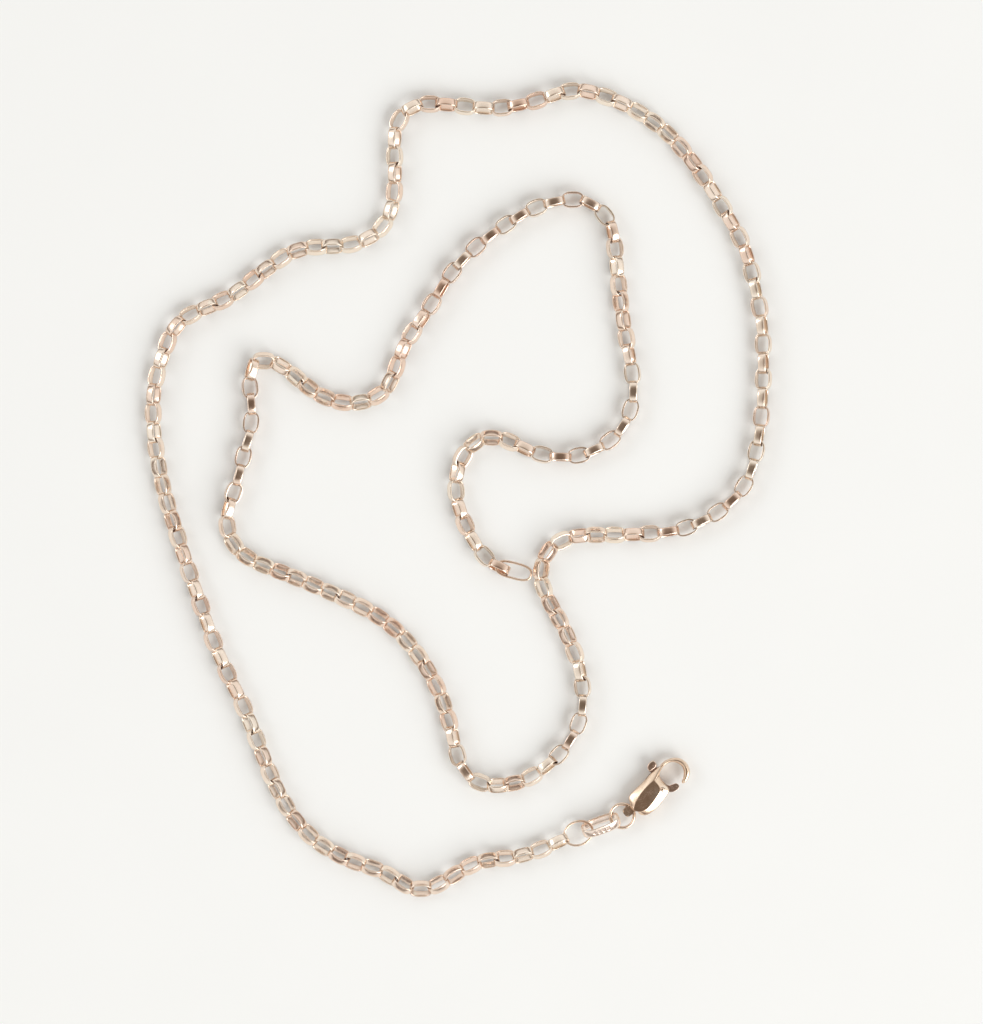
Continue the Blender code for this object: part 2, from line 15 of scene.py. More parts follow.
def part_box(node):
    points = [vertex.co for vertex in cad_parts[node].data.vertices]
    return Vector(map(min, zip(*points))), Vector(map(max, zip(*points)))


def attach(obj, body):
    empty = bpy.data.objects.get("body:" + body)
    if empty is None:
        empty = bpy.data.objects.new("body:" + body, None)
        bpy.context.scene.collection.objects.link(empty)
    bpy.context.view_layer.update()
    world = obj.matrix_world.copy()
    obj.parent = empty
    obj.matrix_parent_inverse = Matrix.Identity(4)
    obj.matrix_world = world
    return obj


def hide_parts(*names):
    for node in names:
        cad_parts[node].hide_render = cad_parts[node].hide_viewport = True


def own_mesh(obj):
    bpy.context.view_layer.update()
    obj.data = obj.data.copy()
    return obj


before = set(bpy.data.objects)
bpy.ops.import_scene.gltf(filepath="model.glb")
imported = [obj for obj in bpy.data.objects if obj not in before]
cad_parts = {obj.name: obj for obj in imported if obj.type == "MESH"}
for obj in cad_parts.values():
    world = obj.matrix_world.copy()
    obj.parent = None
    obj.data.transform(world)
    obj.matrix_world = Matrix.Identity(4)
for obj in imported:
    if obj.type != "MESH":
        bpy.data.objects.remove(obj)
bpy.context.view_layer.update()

MM = 0.001

# ------------------------------------------------- the layout, as in the model

LINK_INNER = 2.212        # clear length inside a link
LINK_WIDTH = 2.0          # outside width
LINK_DEPTH = 0.92         # depth of the band
LINK_WALL = 0.25          # thickness of the band
RUN_COUNT = 50            # rigid runs the chain is divided into
SHORTEST_RUN = 3          # links
BREAK_SHIFT = 2           # links a run's end may be moved to find a straighter place
BREAK_SHIFT_COST = 0.03   # how much bend, in radians, one link of such a move is worth
JOINT_PLAY = 0.22         # slack left where two runs hook into each other
WELD_BITE = 0.066         # how far two links of one run sink into each other
BISECTIONS = 30           # halvings when a contact point is looked for on the curve

# Everything hangs on one level, so that the widest tilted link clears z = 0.
MID_HEIGHT = math.hypot(LINK_WIDTH, LINK_DEPTH) / 2

# Way points of the chain on the table, from the clasp to the end ring.
ROUTE = (
    (13.1, -42.6), (10.1, -43.9), (7.7, -44.7), (5.6, -45.0), (3.3, -45.2), (1.1, -46.0),
    (-2.7, -48.4), (-4.9, -48.8), (-6.7, -48.2), (-8.2, -47.0), (-9.8, -46.3), (-13.4, -45.1),
    (-17.4, -42.8), (-20.5, -39.3), (-22.7, -35.1), (-24.4, -30.8), (-26.1, -26.5),
    (-28.2, -22.2), (-30.0, -17.9), (-31.5, -13.6), (-33.0, -9.3), (-34.4, -4.9), (-35.7, -0.6),
    (-36.6, 3.8), (-37.1, 8.4), (-36.9, 12.9), (-35.6, 17.2), (-34.8, 19.2), (-33.4, 20.8),
    (-31.6, 21.7), (-27.7, 23.4), (-24.3, 26.0), (-20.9, 28.5), (-18.9, 29.3), (-16.8, 29.5),
    (-14.8, 29.5), (-12.6, 29.8), (-10.6, 30.6), (-9.0, 32.0), (-8.1, 33.9), (-7.7, 36.2),
    (-7.7, 40.6), (-7.8, 42.8), (-7.3, 44.9), (-6.0, 46.4), (-4.1, 46.9), (-0.1, 46.7),
    (4.3, 46.3), (8.7, 47.0), (12.7, 48.3), (14.9, 48.6), (17.1, 48.1), (20.9, 46.5),
    (24.5, 44.2), (27.6, 41.1), (30.3, 37.4), (32.7, 33.5), (34.9, 29.4), (36.1, 25.0),
    (37.0, 20.5), (37.2, 15.8), (37.1, 11.1), (36.7, 6.5), (35.7, 2.1), (34.6, -0.1),
    (33.0, -1.8), (31.2, -3.2), (27.0, -5.0), (22.3, -5.5), (17.6, -5.6), (15.2, -5.6),
    (13.1, -6.0), (11.2, -7.1), (10.2, -9.0), (10.1, -11.4), (11.0, -13.5), (13.2, -17.5),
    (14.8, -21.7), (15.3, -25.9), (14.9, -28.0), (14.0, -30.1), (12.7, -32.0), (9.5, -34.8),
    (7.4, -35.7), (5.2, -36.1), (3.0, -36.0), (1.2, -34.9), (0.1, -33.1), (-0.9, -28.9),
    (-2.3, -24.6), (-4.7, -20.4), (-7.8, -16.9), (-11.6, -14.4), (-15.8, -12.5), (-20.0, -10.7),
    (-24.2, -9.1), (-26.1, -8.1), (-27.5, -6.5), (-28.2, -4.5), (-28.1, -2.3), (-27.2, -0.3),
    (-26.2, 3.8), (-25.1, 8.1), (-25.3, 12.1), (-25.4, 14.1), (-24.7, 15.7), (-22.9, 15.7),
    (-21.1, 14.8), (-17.9, 12.1), (-15.9, 11.0), (-13.8, 10.4), (-11.6, 10.5), (-9.7, 11.3),
    (-8.2, 12.9), (-6.8, 16.9), (-5.5, 19.1), (-3.1, 22.6), (-1.0, 26.0), (2.0, 29.3),
    (5.6, 32.0), (9.8, 34.4), (13.9, 35.3), (16.0, 34.9), (17.7, 33.6), (18.8, 31.7),
    (19.3, 27.3), (19.8, 22.8), (20.5, 18.4), (21.3, 13.8), (21.4, 11.5), (21.0, 9.3),
    (19.9, 7.3), (18.3, 5.6), (14.2, 3.9), (9.6, 4.3), (5.6, 6.1), (3.5, 6.4), (1.7, 5.5),
    (0.4, 3.8), (-0.2, 1.6), (-0.3, -0.7), (1.1, -4.9), (3.2, -8.3), (4.1, -9.1), (6.1, -10.0),
)

# Roll of the even-numbered links about the chain, in degrees, at a given link
# (0 = lying flat, 90 = standing on edge).  Odd links stand square to them.
ROLL_KEYS = (
    (0, -60), (4, -45), (8, -38), (13, -40), (18, -48), (24, -60), (31, -60), (36, -42),
    (40, -26), (46, -26), (50, -34), (58, -30), (64, -22), (70, -15), (74, -20), (79, -38),
    (84, -58), (90, -66), (96, -72), (101, -86), (106, -84), (111, -30), (114, -45),
    (118, -50), (122, -86), (125, -84), (131, -6), (135, -40), (150, -45), (154, -86),
    (158, -86), (163, -45), (170, -35), (176, -5), (186, -5), (191, -45), (196, -86),
    (202, -84), (208, -30), (212, -30), (215, -15), (230, -15),
)

# Rings and the hallmark link.  Wires are given by their radius.
END_RING_LENGTH = 4.6
END_RING_WIDTH = 2.15
END_RING_WIRE = 0.15
END_RING_HEADING = math.radians(-15.0)
END_RING_SLACK = 1.3      # it hangs loose, this far inside the last link
OVAL_RING_SEMI = (1.8, 1.42)
OVAL_RING_WIRE = 0.15
RING_GAP = 0.05           # between a ring's wire and the link it hangs in
CLASP_RING_CENTRE = Vector((20.0, -39.8))
CLASP_RING_RADIUS = 1.45
CLASP_RING_WIRE = 0.2
TAG_CENTRE = Vector((17.4, -40.9))
TAG_HEADING = math.radians(20.0)
TAG_LENGTH = 4.9
TAG_WIDTH = 2.3
TAG_DEPTH = 1.15
TAG_WALL = 0.24
TAG_ROLL = math.radians(-55.0)
TAG_LIFT = 0.175          # keeps the wide band off the table
CLASP_HEADING = math.radians(38.8)

# The model's origin is the centre of its box, so the layout is shifted to match it.
ring_low, ring_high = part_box("clasp_ring")
SHIFT = (ring_low + ring_high) / 2 / MM - Vector((*CLASP_RING_CENTRE, MID_HEIGHT))


def spline(points, steps=12):
    """Dense Catmull-Rom curve through the way points."""
    ends = [2 * points[0] - points[1]] + points + [2 * points[-1] - points[-2]]
    dense = []
    for a, b, c, d in zip(ends, ends[1:], ends[2:], ends[3:]):
        for step in range(steps):
            t = step / steps
            dense.append(0.5 * (2 * b + (c - a) * t + (2 * a - 5 * b + 4 * c - d) * t * t
                                + (3 * b - a - 3 * c + d) * t * t * t))
    dense.append(points[-1])
    return dense


def walk(dense, stride):
    """Contact points along the curve, stride(i) apart in a straight line."""
    contacts = [dense[0].copy()]
    for start, end in zip(dense, dense[1:]):
        while (end - contacts[-1]).length >= stride(len(contacts) - 1):
            reach = stride(len(contacts) - 1)
            low, high = 0.0, 1.0
            for _ in range(BISECTIONS):
                middle = (low + high) / 2
                if (start.lerp(end, middle) - contacts[-1]).length < reach:
                    low = middle
                else:
                    high = middle
            contacts.append(start.lerp(end, high))
    return contacts


def straightest_breaks(contacts):
    """Contacts where runs meet: evenly spread, but moved off the tight turns."""
    links = len(contacts) - 1
    breaks = [0]
    for run in range(1, RUN_COUNT):
        even = run * links / RUN_COUNT

        def cost(contact):
            before = contacts[contact] - contacts[contact - 1]
            after = contacts[contact + 1] - contacts[contact]
            return before.angle(after) + BREAK_SHIFT_COST * abs(contact - even)

        earliest = max(breaks[-1] + SHORTEST_RUN, round(even) - BREAK_SHIFT)
        breaks.append(min(range(earliest, round(even) + BREAK_SHIFT + 1), key=cost))
    return breaks + [links]


def play(index, breaks):
    """Gap (below zero) or bite (above zero) between the model's links at a contact."""
    return -JOINT_PLAY if index in breaks else WELD_BITE


def chain_layout():
    """Contact points and the numbers of the contacts where runs meet."""
    dense = spline([Vector((x, y, MID_HEIGHT)) for x, y in ROUTE])
    breaks = straightest_breaks(walk(dense, lambda index: LINK_INNER))
    contacts = walk(dense, lambda i: LINK_INNER + (play(i, breaks) + play(i + 1, breaks)) / 2)
    return contacts[:breaks[-1] + 1], breaks


def roll_of(link):
    """Roll of a link about the chain, in radians, from the keys above."""
    for (first, low), (last, high) in zip(ROLL_KEYS, ROLL_KEYS[1:]):
        if first <= link <= last:
            roll = low + (high - low) * (link - first) / (last - first)
            return math.radians(roll + (90.0 if link % 2 else 0.0))
    raise ValueError(link)


def placed(centre, heading, roll=0.0):
    """Frame at centre: x along the heading, z up before the roll about x."""
    turn = Matrix.Rotation(heading, 4, "Z") @ Matrix.Rotation(roll, 4, "X")
    return Matrix.Translation(centre) @ turn


def heading_of(direction):
    return math.atan2(direction.y, direction.x)


# ------------------------------------------------------------- shape helpers

SEAM_NECK = 0.93          # thickness that is left where a ring or a link is soldered


def superellipse(semi_x, semi_y, power, angle):
    """Point of a superellipse: power 2 is an ellipse, more is squarer."""
    c, s = math.cos(angle), math.sin(angle)
    return Vector((math.copysign(semi_x * abs(c) ** (2 / power), c),
                   math.copysign(semi_y * abs(s) ** (2 / power), s), 0.0))


def even_angles(semi_x, semi_y, power, count, fine=3600):
    """Angles whose points are the same distance apart round a superellipse."""
    points = [superellipse(semi_x, semi_y, power, math.tau * k / fine) for k in range(fine + 1)]
    lengths = [0.0]
    for before, after in zip(points, points[1:]):
        lengths.append(lengths[-1] + (after - before).length)
    angles, k = [], 0
    for step in range(count):
        goal = lengths[-1] * step / count
        while lengths[k + 1] < goal:
            k += 1
        angles.append(math.tau * (k + (goal - lengths[k]) / (lengths[k + 1] - lengths[k])) / fine)
    return angles


def sweep(bm, stations, closed=True):
    """Faces between neighbouring stations, each a closed loop of points."""
    loops = [[bm.verts.new(point) for point in station] for station in stations]
    following = loops[1:] + loops[:1] if closed else loops[1:]
    faces = []
    for first, second in zip(loops, following):
        for k in range(len(first)):
            n = (k + 1) % len(first)
            faces.append(bm.faces.new((first[k], first[n], second[n], second[k])))
    if not closed:
        faces.append(bm.faces.new(loops[0][::-1]))
        faces.append(bm.faces.new(loops[-1]))
    return loops, faces


def wire_stations(path, radius, place, sides=16, seam=None):
    """Round wire along a closed flat path, thinned a little at its soldered seam."""
    stations = []
    count = len(path)
    for k, spot in enumerate(path):
        tangent = (path[(k + 1) % count] - path[k - 1]).normalized()
        outward = Vector((tangent.y, -tangent.x, 0.0))
        thick = radius * (SEAM_NECK if k == seam else 1.0)
        stations.append([
            place @ (spot + outward * thick * math.cos(math.tau * side / sides)
                     + Vector((0, 0, thick * math.sin(math.tau * side / sides))))
            for side in range(sides)])
    return stations


def round_corners(outline, times):
    """Chaikin's corner cutting on a closed outline."""
    for _ in range(times):
        cut = []
        for a, b in zip(outline, outline[1:] + outline[:1]):
            cut += [a.lerp(b, 0.25), a.lerp(b, 0.75)]
        outline = cut
    return outline


def stacked(levels, soften=0.0, segments=3):
    """Closed solid through levels of (outline, z), with the level edges rounded."""
    bm = bmesh.new()
    stations = [[Vector((point.x, point.y, z)) for point in outline] for outline, z in levels]
    loops, _ = sweep(bm, stations, closed=False)
    if soften:
        edges = {edge for loop in loops for vert in loop for edge in vert.link_edges
                 if edge.other_vert(vert) in loop}
        bmesh.ops.bevel(bm, geom=sorted(edges, key=lambda e: [*e.verts[0].co, *e.verts[1].co]),
                        offset=soften, segments=segments, profile=0.5, affect="EDGES",
                        clamp_overlap=True)
    return solid(bm)


def prism(outline, half, soften=0.0, segments=3):
    """Closed solid from a flat outline, raised by the same half height both ways."""
    return stacked(((outline, -half), (outline, half)), soften, segments)


def solid(bm):
    """A temporary object in millimetres, for Boolean work."""
    bmesh.ops.recalc_face_normals(bm, faces=bm.faces)
    mesh = bpy.data.meshes.new("solid")
    bm.to_mesh(mesh)
    bm.free()
    item = bpy.data.objects.new("solid", mesh)
    bpy.context.scene.collection.objects.link(item)
    return item


def boolean(target, tool, operation):
    """Applies one exact Boolean and removes the tool."""
    modifier = target.modifiers.new("cut", "BOOLEAN")
    modifier.operation = operation
    modifier.solver = "EXACT"
    modifier.object = tool
    graph = bpy.context.evaluated_depsgraph_get()
    graph.update()
    mesh = bpy.data.meshes.new_from_object(target.evaluated_get(graph))
    target.modifiers.clear()
    target.data = mesh
    bpy.data.objects.remove(tool, do_unlink=True)


def rod(radius, half_length, place, sides=40):
    """Drill for the Boolean cuts, along its frame's z axis."""
    bm = bmesh.new()
    bmesh.ops.create_cone(bm, cap_ends=True, segments=sides, radius1=radius, radius2=radius,
                          depth=2 * half_length, matrix=place)
    return solid(bm)


def turned(profile, place, sides=32):
    """Solid of revolution about z; the profile of (radius, z) starts and ends on the axis."""
    bm = bmesh.new()
    rings = []
    for radius, z in profile[1:-1]:
        rings.append([place @ Vector((radius * math.cos(math.tau * k / sides),
                                      radius * math.sin(math.tau * k / sides), z))
                      for k in range(sides)])
    _, faces = sweep(bm, rings, closed=False)
    for cap, (_, z) in zip(faces[-2:], (profile[0], profile[-1])):
        tip = bmesh.ops.poke(bm, faces=[cap])["verts"][0]
        tip.co = place @ Vector((0, 0, z))
    return bm


def piece(name, mesh, material, body, node, sharp=None):
    """Puts a finished mesh, still in millimetres, on its body in place of a CAD node."""
    mesh.name = name
    mesh.transform(Matrix.Scale(MM, 4) @ Matrix.Translation(SHIFT))
    mesh.materials.clear()
    mesh.materials.append(material)
    mesh.shade_smooth()
    item = bpy.data.objects.new(name, mesh)
    bpy.context.scene.collection.objects.link(item)
    if sharp is not None:
        mesh.set_sharp_from_angle(angle=math.radians(sharp))
        item.modifiers.new("flat facets stay flat", "WEIGHTED_NORMAL").keep_sharp = True
    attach(item, body)
    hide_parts(node)
    return item


def mesh_of(bm):
    """The finished mesh of bm, with its faces turned outwards."""
    bmesh.ops.recalc_face_normals(bm, faces=bm.faces)
    mesh = bpy.data.meshes.new("piece")
    bm.to_mesh(mesh)
    bm.free()
    return mesh


def take_mesh(item):
    """The mesh of a temporary solid, which is then removed."""
    mesh = item.data
    bpy.data.objects.remove(item, do_unlink=True)
    return mesh


# ----------------------------------------------------------------- materials

class Nodes:
    """Short way to write a node tree."""

    def __init__(self, material):
        material.use_nodes = True
        self.tree = material.node_tree
        self.shader = self.tree.nodes["Principled BSDF"]

    def add(self, kind, settings=None, **inputs):
        node = self.tree.nodes.new(kind)
        for key, value in (settings or {}).items():
            setattr(node, key, value)
        for key, value in inputs.items():
            socket = node.inputs[key.replace("_", " ")]
            if isinstance(value, bpy.types.NodeSocket):
                self.tree.links.new(value, socket)
            else:
                socket.default_value = value
        return node

    def noise(self, where, scale, detail=3.0, roughness=0.5):
        node = self.add("ShaderNodeTexNoise", Vector=where, Scale=scale, Detail=detail,
                        Roughness=roughness)
        return node.outputs["Fac"]

    def remap(self, value, low, high, to_low, to_high):
        node = self.add("ShaderNodeMapRange", None, Value=value)
        for name, number in (("From Min", low), ("From Max", high),
                             ("To Min", to_low), ("To Max", to_high)):
            node.inputs[name].default_value = number
        return node.outputs["Result"]

    def mix(self, factor, first, second):
        node = self.tree.nodes.new("ShaderNodeMix")
        node.data_type = "RGBA"
        for socket, value in ((node.inputs[0], factor), (node.inputs[6], first),
                              (node.inputs[7], second)):
            if isinstance(value, bpy.types.NodeSocket):
                self.tree.links.new(value, socket)
            elif isinstance(value, tuple):
                socket.default_value = (*value, 1.0)
            else:
                socket.default_value = value
        return node.outputs[2]

    def math(self, operation, first, second):
        node = self.tree.nodes.new("ShaderNodeMath")
        node.operation = operation
        for socket, value in zip(node.inputs, (first, second)):
            if isinstance(value, bpy.types.NodeSocket):
                self.tree.links.new(value, socket)
            else:
                socket.default_value = value
        return node.outputs["Value"]

    def link(self, value, name):
        self.tree.links.new(value, self.shader.inputs[name])


# Gold's colours, and how much of each kind of wear and of painted crevice shade it shows.
PALE_GOLD = (0.99, 0.91, 0.78)
# Tarnish brown, which also serves as the painted shade in the crevices.
TARNISH_AND_SHADE = (0.17, 0.065, 0.045)
TONE_SHARE = 0.7                  # how far the palest link goes towards pale gold
SUNK_SHADE_AND_GRIME = 0.75                 # painted shade and grime at the bottom of the punch marks, darker the deeper
RUBBED_SHARE = 0.6                # how far the sharpest edges are rubbed to pale gold
CREVICE_ROUGHNESS = 0.25
CREVICE_REACH = 0.0005            # metres
CREVICE_RANGE = (0.28, 0.72)      # share of open sky where the painted shade and grime are full, and where none
EDGE_RANGE = (0.52, 0.62)         # pointiness where rubbing starts, and where it is full

# Noise scales, per metre, and the part of each noise's range that is used.
DRIFT_SCALE = 260.0
WAVE_SCALE = 900.0
MOTTLE_SCALE = 1500.0
PATCH_SCALE = 2600.0
STREAK_STRETCH = (2500.0, 42000.0, 9000.0)
STREAK_TILT = (0.3, 0.2)          # turn of the scratches about x and y, in radians
SOFT_RANGE = (0.35, 0.65)
STREAK_RANGE = (0.3, 0.7)
MOTTLE_RANGE = (0.35, 0.7)

# Roughness added by scratches and by mottle, and the heights of the relief in metres.
STREAK_ROUGHNESS = (-0.05, 0.07)
MOTTLE_ROUGHNESS = (-0.03, 0.06)
WAVE_HEIGHT = 0.00002
SCRATCH_HEIGHT = 0.000004

STEEL_DARK = (0.52, 0.50, 0.47)
STEEL_BRIGHT = (0.66, 0.64, 0.62)
STEEL_ROUGHNESS = (0.2, 0.42)


def rose_gold(name, colour, deep, roughness, streak_angle=0.0, shade_and_grime_strength=0.55):
    """Worn polished rose gold: colour drift, fine scratches, painted shade and grime in the
    crevices, and bright rubbed edges."""
    material = bpy.data.materials.new(name)
    n = Nodes(material)
    n.shader.inputs["Metallic"].default_value = 1.0
    place = n.add("ShaderNodeTexCoord").outputs["Object"]

    drift = n.remap(n.noise(place, DRIFT_SCALE, 2.0), *SOFT_RANGE, 0.0, 1.0)
    body = n.mix(drift, colour, deep)
    tone = n.add("ShaderNodeAttribute", {"attribute_name": "tone"}).outputs["Fac"]
    body = n.mix(n.math("MULTIPLY", tone, TONE_SHARE), body, PALE_GOLD)

    # Painted shade and grime: where the ambient occlusion finds crevices and contacts, the colour
    # is darkened towards tarnish brown.
    crevice = n.add("ShaderNodeAmbientOcclusion", {"samples": 6}, Distance=CREVICE_REACH)
    shade_and_grime = n.remap(crevice.outputs["AO"], *CREVICE_RANGE, shade_and_grime_strength, 0.0)
    sunk = n.add("ShaderNodeAttribute", {"attribute_name": "sunk"}).outputs["Fac"]
    # Painted shade and grime: the punch marks darken with their depth.
    shade_and_grime = n.math("MAXIMUM", shade_and_grime, n.math("MULTIPLY", sunk, SUNK_SHADE_AND_GRIME))
    patchy = n.remap(n.noise(place, PATCH_SCALE, 4.0, 0.6), *SOFT_RANGE, 0.55, 1.0)
    body = n.mix(n.math("MULTIPLY", shade_and_grime, patchy), body, TARNISH_AND_SHADE)

    edge = n.add("ShaderNodeNewGeometry").outputs["Pointiness"]
    rubbed = n.remap(edge, *EDGE_RANGE, 0.0, RUBBED_SHARE)
    body = n.mix(rubbed, body, PALE_GOLD)
    n.link(body, "Base Color")

    turn = n.add("ShaderNodeMapping", None, Vector=place)
    turn.inputs["Rotation"].default_value = (*STREAK_TILT, streak_angle)
    turn.inputs["Scale"].default_value = STREAK_STRETCH
    streaks = n.noise(turn.outputs["Vector"], 1.0, 5.0, 0.65)
    mottle = n.noise(place, MOTTLE_SCALE, 4.0, 0.6)
    low, high = (roughness + change for change in STREAK_ROUGHNESS)
    rough = n.remap(streaks, *STREAK_RANGE, low, high)
    rough = n.math("ADD", rough, n.remap(mottle, *MOTTLE_RANGE, *MOTTLE_ROUGHNESS))
    rough = n.math("ADD", rough, n.math("MULTIPLY", shade_and_grime, CREVICE_ROUGHNESS))
    n.link(rough, "Roughness")

    waves = n.add("ShaderNodeBump", None, Strength=0.5, Distance=WAVE_HEIGHT,
                  Height=n.noise(place, WAVE_SCALE, 2.0))
    scratch = n.add("ShaderNodeBump", None, Strength=0.35, Distance=SCRATCH_HEIGHT,
                    Height=streaks, Normal=waves.outputs["Normal"])
    n.link(scratch.outputs["Normal"], "Normal")
    return material


def spring_metal():
    """Bright drawn steel strip with faint draw lines."""
    material = bpy.data.materials.new("spring_steel_look")
    n = Nodes(material)
    n.shader.inputs["Metallic"].default_value = 1.0
    place = n.add("ShaderNodeTexCoord").outputs["Object"]
    n.link(n.mix(n.noise(place, 2000.0), STEEL_DARK, STEEL_BRIGHT), "Base Color")
    rough = n.remap(n.noise(place, 9000.0, 5.0), *STREAK_RANGE, *STEEL_ROUGHNESS)
    n.link(rough, "Roughness")
    bump = n.add("ShaderNodeBump", None, Strength=0.3, Distance=SCRATCH_HEIGHT,
                 Height=n.noise(place, 12000.0, 3.0))
    n.link(bump.outputs["Normal"], "Normal")
    return material


# The links get the strongest painted crevice shade and grime.
LINK_LOOK = rose_gold("link_rose_gold", (0.93, 0.74, 0.62), (0.86, 0.62, 0.49), 0.17, shade_and_grime_strength=1.9)
WIRE_LOOK = rose_gold("wire_rose_gold", (0.92, 0.74, 0.60), (0.84, 0.62, 0.47), 0.18,
                      streak_angle=0.8)
TAG_LOOK = rose_gold("tag_rose_gold", (0.97, 0.85, 0.75), (0.93, 0.77, 0.66), 0.2,
                     streak_angle=1.4)
CLASP_LOOK = rose_gold("clasp_rose_gold", (0.92, 0.72, 0.55), (0.84, 0.62, 0.46), 0.2,
                       streak_angle=0.7)
LEVER_LOOK = rose_gold("lever_rose_gold", (0.86, 0.65, 0.54), (0.78, 0.56, 0.45), 0.22,
                       streak_angle=1.2)
RIVET_LOOK = rose_gold("rivet_rose_gold", (0.88, 0.68, 0.54), (0.80, 0.59, 0.44), 0.2,
                       streak_angle=0.1)
STEEL_LOOK = spring_metal()


# ----------------------------------------------------------------- the chain

# Section of a link's band: (from the inner face to the outer, across from edge to edge).
BAND_SECTION = (
    (0.9, -0.965), (0.98, -0.78), (1.0, -0.3), (1.0, 0.3), (0.98, 0.78), (0.9, 0.965),
    (0.76, 1.0), (0.24, 1.0), (0.08, 0.95), (0.02, 0.7), (0.02, -0.7), (0.08, -0.95),
    (0.24, -1.0), (0.76, -1.0),
)
OUTER_POWER = 2.5          # how square the links' outside is
INNER_POWER = 3.1          # and their opening
LINK_STATIONS = 34
SEAM_DEPTH = 0.985         # depth of the band that is left at a link's soldered seam
LINK_TILT = math.radians(1.2)    # each link lies up to this much askew
LINK_TWIST = math.radians(4.0)   # and is rolled by up to this much more or less
LINK_SEED = 71
LINK_ANGLES = even_angles((LINK_INNER + WELD_BITE) / 2 + LINK_WALL, LINK_WIDTH / 2,
                          OUTER_POWER, LINK_STATIONS)


def link_band(bm, place, seam):
    """One link: a flat band with a crowned outside, bent into an oval and soldered."""
    half_length = (LINK_INNER + WELD_BITE) / 2 + LINK_WALL
    half_width = LINK_WIDTH / 2
    stations = []
    for k, angle in enumerate(LINK_ANGLES):
        outer = superellipse(half_length, half_width, OUTER_POWER, angle)
        inner = superellipse(half_length - LINK_WALL, half_width - LINK_WALL, INNER_POWER, angle)
        depth = LINK_DEPTH / 2 * (SEAM_DEPTH if k == seam else 1.0)
        station = []
        for u, v in BAND_SECTION:
            proud = u if k != seam else 0.5 + (u - 0.5) * SEAM_NECK
            spot = inner.lerp(outer, proud)
            station.append(place @ Vector((spot.x, spot.y, v * depth)))
        stations.append(station)
    return sweep(bm, stations)[1]


def chain_runs(contacts, breaks):
    """One piece for each run of links that the model moves as one body."""
    dice = random.Random(LINK_SEED)
    for run, (first, last) in enumerate(zip(breaks, breaks[1:]), start=1):
        bm = bmesh.new()
        tone = bm.faces.layers.float.new("tone")
        for link in range(first, last):
            start, end = contacts[link], contacts[link + 1]
            along = (end - start).normalized()
            centre = start + along * (LINK_INNER + play(link, breaks)) / 2
            loose = (Matrix.Rotation(dice.uniform(-1, 1) * LINK_TILT, 4, "Y")
                     @ Matrix.Rotation(dice.uniform(-1, 1) * LINK_TILT, 4, "Z"))
            roll = roll_of(link) + dice.uniform(-1, 1) * LINK_TWIST
            place = placed(centre, heading_of(along), roll) @ loose
            seam = dice.choice((LINK_STATIONS // 4, 3 * LINK_STATIONS // 4))
            shade = dice.uniform(0.0, 1.0)
            for face in link_band(bm, place, seam):
                face[tone] = shade
        name = f"chain_{run:02d}"
        piece(f"links_{run:02d}", mesh_of(bm), LINK_LOOK, name, name)


# --------------------------------------------------- rings and hallmark link

WIRE_STATIONS = 72
ROUND = 2.0                # power of an ellipse
END_RING_POWER = 2.9       # squarer than an ellipse
# The station of each ring's soldered seam.
CLASP_RING_SEAM = 50
OVAL_RING_SEAM = 20
END_RING_SEAM = 15


def wire_ring(name, semi_axes, power, radius, place, seam):
    """One soldered wire ring that follows a superellipse."""
    path = [superellipse(*semi_axes, power, angle)
            for angle in even_angles(*semi_axes, power, WIRE_STATIONS)]
    bm = bmesh.new()
    sweep(bm, wire_stations(path, radius, place, seam=seam))
    piece(f"{name}_wire", mesh_of(bm), WIRE_LOOK, name, name)


def rings(contacts):
    """The clasp's round ring, the thin oval ring and the long end ring."""
    place = Matrix.Translation((*CLASP_RING_CENTRE, MID_HEIGHT))
    semi_axes = (CLASP_RING_RADIUS, CLASP_RING_RADIUS)
    wire_ring("clasp_ring", semi_axes, ROUND, CLASP_RING_WIRE, place, CLASP_RING_SEAM)

    along = (contacts[1] - contacts[0]).normalized()
    hook = contacts[0] + along * (OVAL_RING_WIRE + RING_GAP - JOINT_PLAY / 2)
    place = placed(hook - along * OVAL_RING_SEMI[0], heading_of(along))
    wire_ring("oval_ring", OVAL_RING_SEMI, ROUND, OVAL_RING_WIRE, place, OVAL_RING_SEAM)

    along = (contacts[-1] - contacts[-2]).normalized()
    away = Vector((math.cos(END_RING_HEADING), math.sin(END_RING_HEADING), 0.0))
    half_length = END_RING_LENGTH / 2 - END_RING_WIRE
    half_width = END_RING_WIDTH / 2 - END_RING_WIRE
    centre = contacts[-1] - along * END_RING_SLACK + away * half_length
    place = placed(centre, END_RING_HEADING)
    wire_ring("end_ring", (half_length, half_width), END_RING_POWER, END_RING_WIRE, place,
              END_RING_SEAM)


# Worn, generic punch marks along both sides of the hallmark link.
STAMPS = ((-1.0, "lozenge"), (-0.42, "oval"), (0.16, "shield"), (0.74, "bars"))
STAMP_HALF = 0.21          # half of a mark's length along the link
STAMP_ASPECT = 1.5         # its height over its length
STAMP_DEPTH = 0.06
STAMP_EDGE = (0.8, 1.0)    # where a mark's side slopes up to the band's face
RELIEF_EDGE = (0.15, 0.4)  # where the raised figure inside it slopes down
RELIEF_SHARE = 0.7         # height of the figure, as a share of the mark's depth
STAMPED_FACE = 0.7         # only the outer face, above this share of the wall, is marked
TAG_POWER = 2.8
TAG_STATIONS = 190
TAG_ACROSS = 19            # points across the outer face
TAG_CROWN = 0.12           # fall of the outer face towards its edges, in walls
TAG_CORNER_FALL = 0.1      # further fall at the very edges
TAG_OUTER_REACH = 0.95     # half width of the outer face, in half depths
TAG_INNER_REACH = 0.93     # and of the inner face
TAG_INNER_HOLLOW = (0.06, 0.1)   # the inner face's height at its middle, and rise outwards
TAG_EDGE = (0.66, 0.34)    # the flat edges' corners, in walls from the inner face


def smooth_step(low, high, value):
    """0 below low, 1 above high, and an S-curve between them."""
    t = min(max((value - low) / (high - low), 0.0), 1.0)
    return t * t * (3 - 2 * t)


